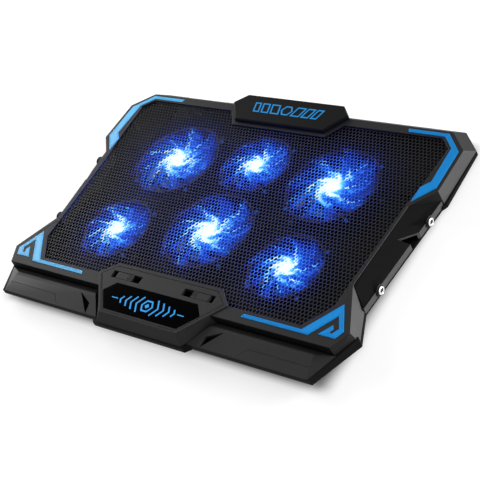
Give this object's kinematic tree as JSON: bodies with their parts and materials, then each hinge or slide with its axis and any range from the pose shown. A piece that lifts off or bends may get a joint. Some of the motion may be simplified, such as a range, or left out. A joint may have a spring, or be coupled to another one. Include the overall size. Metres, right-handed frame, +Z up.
{
  "type": "laptop cooling pad",
  "caption": "Flat lit fan pad for a laptop: winged deck with a mesh top over round fans, flip-up front stoppers, fold-out rear legs, blue corner inlays and side skirts.",
  "frame": {"origin": "centre of the bounding box, on the surface that the feet stand on", "axes": "+X to the right seen from the front, +Y from the front module to the rear badge, +Z up"},
  "size_m": [0.4068, 0.2922, 0.028],
  "materials": {
    "case_plastic": "fine-textured dark grey moulded plastic",
    "skirt_plastic": "fine-textured black moulded plastic",
    "mesh_metal": "dark powder-coated perforated steel sheet",
    "blue_plastic": "satin bright blue moulded plastic",
    "black_gloss": "gloss black acrylic",
    "fan_plastic": "black moulded plastic",
    "rotor_plastic": "smoky translucent plastic that takes the lamps' blue",
    "led": "clear water-white lamp, lit blue",
    "steel": "zinc-plated steel",
    "chrome_ring": "bright plated",
    "bronze": "sintered bronze",
    "board": "green solder-masked circuit board",
    "coil": "enamelled copper winding on laminated steel",
    "rubber": "soft black rubber",
    "tongue": "tin-plated folded steel"
  },
  "bodies": {
    "case": {"top_frame": "case_plastic", "bottom_pan": "skirt_plastic", "mesh_panel": "mesh_metal", "front_cover": "case_plastic", "display_window": "black_gloss", "light_board": "board", "rear_badge_plate": "case_plastic", "front_lip_right": "case_plastic", "front_lip_left": "case_plastic", "side_skirt_right": "skirt_plastic", "side_skirt_left": "skirt_plastic", "inlay_rear_right": "blue_plastic", "inlay_rear_left": "blue_plastic", "inlay_front_right": "blue_plastic", "inlay_front_left": "blue_plastic", "fan_bearings": "bronze", "fan_leds": "led", "fan_screws": "steel", "skirt_screws": "chrome_ring", "case_screws": "steel", "stopper_pins": "steel", "leg_pins": "steel", "rubber_feet": "rubber", "port_panel": "fan_plastic", "control_board": "board", "usb_socket_1": "tongue", "usb_socket_2": "tongue", "dial_base": "fan_plastic", "fan_housing_large_right": "fan_plastic", "fan_stator_large_right": "coil", "fan_housing_large_left": "fan_plastic", "fan_stator_large_left": "coil", "fan_housing_large_front": "fan_plastic", "fan_stator_large_front": "coil", "fan_housing_small_right": "fan_plastic", "fan_stator_small_right": "coil", "fan_housing_small_left": "fan_plastic", "fan_stator_small_left": "coil", "fan_housing_small_rear": "fan_plastic", "fan_stator_small_rear": "coil"},
    "rotor_large_right": {"fan_rotor_large_right": "rotor_plastic"},
    "rotor_large_left": {"fan_rotor_large_left": "rotor_plastic"},
    "rotor_large_front": {"fan_rotor_large_front": "rotor_plastic"},
    "rotor_small_right": {"fan_rotor_small_right": "rotor_plastic"},
    "rotor_small_left": {"fan_rotor_small_left": "rotor_plastic"},
    "rotor_small_rear": {"fan_rotor_small_rear": "rotor_plastic"},
    "stopper_flap_right": {"stopper_right": "case_plastic"},
    "stopper_flap_left": {"stopper_left": "case_plastic"},
    "kickstand_right": {"kickstand_leg_right": "fan_plastic", "leg_tip_right": "rubber"},
    "kickstand_left": {"kickstand_leg_left": "fan_plastic", "leg_tip_left": "rubber"},
    "dial": {"speed_dial": "fan_plastic"}
  },
  "joints": [
    {"name": "large_right_spin", "type": "hinge", "parent": "case", "child": "rotor_large_right", "pos_m": [0.094, 0.05235, 0.019], "axis": [0, 0, 1], "continuous": true},
    {"name": "large_left_spin", "type": "hinge", "parent": "case", "child": "rotor_large_left", "pos_m": [-0.094, 0.05235, 0.019], "axis": [0, 0, 1], "continuous": true},
    {"name": "large_front_spin", "type": "hinge", "parent": "case", "child": "rotor_large_front", "pos_m": [0, -0.02365, 0.019], "axis": [0, 0, 1], "continuous": true},
    {"name": "small_right_spin", "type": "hinge", "parent": "case", "child": "rotor_small_right", "pos_m": [0.1025, -0.04365, 0.019], "axis": [0, 0, 1], "continuous": true},
    {"name": "small_left_spin", "type": "hinge", "parent": "case", "child": "rotor_small_left", "pos_m": [-0.1025, -0.04365, 0.019], "axis": [0, 0, 1], "continuous": true},
    {"name": "small_rear_spin", "type": "hinge", "parent": "case", "child": "rotor_small_rear", "pos_m": [0, 0.06135, 0.019], "axis": [0, 0, 1], "continuous": true},
    {"name": "stopper_right_flip", "type": "hinge", "parent": "case", "child": "stopper_flap_right", "pos_m": [0.0552, -0.0972, 0.023], "axis": [0, 1, 0], "range_deg": [0, 90]},
    {"name": "stopper_left_flip", "type": "hinge", "parent": "case", "child": "stopper_flap_left", "pos_m": [-0.0552, -0.0972, 0.023], "axis": [0, -1, 0], "range_deg": [0, 90]},
    {"name": "kickstand_right_fold", "type": "hinge", "parent": "case", "child": "kickstand_right", "pos_m": [0.168, 0.12085, 0.0065], "axis": [1, 0, 0], "range_deg": [0, 75]},
    {"name": "kickstand_left_fold", "type": "hinge", "parent": "case", "child": "kickstand_left", "pos_m": [-0.168, 0.12085, 0.0065], "axis": [1, 0, 0], "range_deg": [0, 75]},
    {"name": "dial_turn", "type": "hinge", "parent": "case", "child": "dial", "pos_m": [-0.1105, 0.13205, 0.0122], "axis": [0, 0, 1], "range_deg": [0, 270]}
  ]
}
